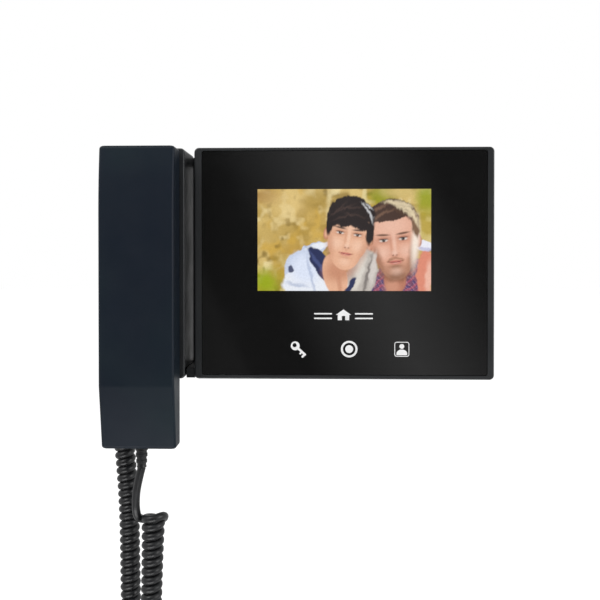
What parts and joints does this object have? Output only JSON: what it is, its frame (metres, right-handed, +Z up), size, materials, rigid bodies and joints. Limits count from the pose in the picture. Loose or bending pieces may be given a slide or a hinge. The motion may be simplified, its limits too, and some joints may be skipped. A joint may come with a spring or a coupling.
{
  "type": "video intercom monitor",
  "caption": "Wall-mounted video door monitor: glossy black touch panel with a small colour screen, and a corded handset in a cradle on its left side.",
  "frame": {"origin": "on the wall, at the back face of the wall bracket, behind the middle of the monitor", "axes": "+Z up, +X to the right seen from the front, +Y into the wall"},
  "size_m": [0.2208, 0.055, 0.2838],
  "materials": {
    "housing_black": "fine grained satin",
    "handset_black": "fine grained satin, bluish black",
    "panel_gloss": "high gloss acrylic, back-printed black",
    "screen": "flat clear screen over a colour display",
    "diffuser": "white light guide",
    "steel": "zinc plated",
    "board_green": "solder mask",
    "control_black": "moulded, matt",
    "terminal_green": "moulded",
    "cord_black": "soft PVC, slight sheen",
    "rubber": "matt",
    "cone": "matt"
  },
  "bodies": {
    "main_unit": {"wall_bracket": "steel", "rear_cover": "housing_black", "front_housing": "housing_black", "front_panel": "panel_gloss", "lcd_module": "screen", "lcd_backlight": "diffuser", "lcd_retainer": "steel", "touch_board": "board_green", "touch_electrode_1": "steel", "touch_electrode_2": "steel", "touch_electrode_3": "steel", "main_board": "board_green", "board_screw_1": "steel", "board_screw_2": "steel", "board_screw_3": "steel", "board_screw_4": "steel", "terminal_block": "terminal_green", "terminal_screw_1": "steel", "terminal_screw_2": "steel", "terminal_screw_3": "steel", "terminal_screw_4": "steel", "chime_speaker": "cone", "brightness_pot": "control_black", "colour_pot": "control_black", "volume_pot": "control_black", "power_switch_body": "steel", "cradle_shell": "housing_black", "hook_spring": "steel", "hook_board": "board_green", "hook_board_screw_1": "steel", "hook_board_screw_2": "steel", "hook_microswitch": "control_black", "link_cable": "cord_black", "base_cord_boot": "cord_black", "base_lead": "cord_black", "curly_cord": "cord_black", "cover_screw_1": "steel", "cover_screw_2": "steel", "cover_screw_3": "steel", "cover_screw_4": "steel", "cover_screw_5": "steel", "cover_screw_6": "steel"},
    "handset": {"handset_outer_shell": "handset_black", "handset_inner_shell": "handset_black", "handset_screw_1": "steel", "handset_screw_2": "steel", "receiver_capsule": "cone", "microphone": "steel", "microphone_boot": "rubber", "handset_weight": "steel", "handset_board": "board_green", "handset_cord_boot": "cord_black", "handset_lead": "cord_black"},
    "hook_plunger": {"hook_plunger": "control_black"},
    "brightness_wheel": {"brightness_wheel": "control_black"},
    "colour_wheel": {"colour_wheel": "control_black"},
    "volume_wheel": {"volume_wheel": "control_black"},
    "power_switch_knob": {"power_switch_knob": "control_black"}
  },
  "joints": [
    {"name": "handset_lift", "type": "slide", "parent": "main_unit", "child": "handset", "axis": [0, -1, 0], "range_m": [0, 0.03]},
    {"name": "hook_plunge", "type": "slide", "parent": "main_unit", "child": "hook_plunger", "axis": [0, -1, 0], "range_m": [0, 0.003]},
    {"name": "power_slide", "type": "slide", "parent": "main_unit", "child": "power_switch_knob", "axis": [0, 0, 1], "range_m": [0, 0.003]},
    {"name": "brightness_turn", "type": "hinge", "parent": "main_unit", "child": "brightness_wheel", "pos_m": [0.0771, -0.0194, 0.024], "axis": [0, -1, 0], "range_deg": [-135, 135]},
    {"name": "colour_turn", "type": "hinge", "parent": "main_unit", "child": "colour_wheel", "pos_m": [0.0771, -0.0194, 0], "axis": [0, -1, 0], "range_deg": [-135, 135]},
    {"name": "volume_turn", "type": "hinge", "parent": "main_unit", "child": "volume_wheel", "pos_m": [0.0771, -0.0194, -0.024], "axis": [0, -1, 0], "range_deg": [-135, 135]}
  ],
  "couplings": [
    {"joint": "hook_plunge", "follows": "handset_lift", "ratio": 0.1}
  ]
}
